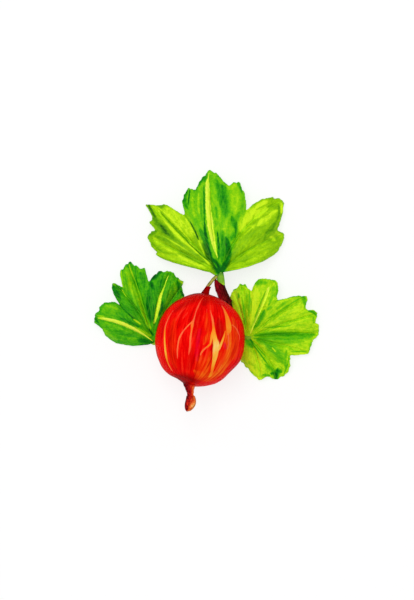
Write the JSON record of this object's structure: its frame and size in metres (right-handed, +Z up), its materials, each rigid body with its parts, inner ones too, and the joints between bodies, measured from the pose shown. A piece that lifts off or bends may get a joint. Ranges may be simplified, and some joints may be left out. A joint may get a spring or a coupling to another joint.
{
  "type": "gooseberry",
  "caption": "Ripe red gooseberry lying as picked: round veined fruit with withered flower, thin stalk, short woody spur and lobed, pleated leaves.",
  "frame": {"origin": "middle of the small flat spot on the berry's underside that it rests on", "axes": "+Z up from the table, +Y from the withered flower towards the stalk and the top leaf, +X towards the right leaf"},
  "size_m": [0.05, 0.0534, 0.0198],
  "materials": {
    "berry_skin": "smooth, thin, slightly translucent red skin with paler yellow-orange veins running from end to end",
    "dried_flower": "dry, creased red-brown sepals and floral tube",
    "green_stalk": "smooth yellow-green stalk",
    "spur_bark": "rough dark maroon bark",
    "leaf_top_green": "satin fresh green leaf with yellow veins",
    "leaf_left_green": "satin deep green leaf with yellow veins",
    "leaf_right_green": "satin yellow-green leaf with yellow veins"
  },
  "bodies": {
    "root": {"berry": "berry_skin", "withered_flower": "dried_flower", "fruit_stalk": "green_stalk", "woody_spur": "spur_bark", "leaf_top": "leaf_top_green", "leaf_left": "leaf_left_green", "leaf_right": "leaf_right_green"}
  },
  "joints": []
}
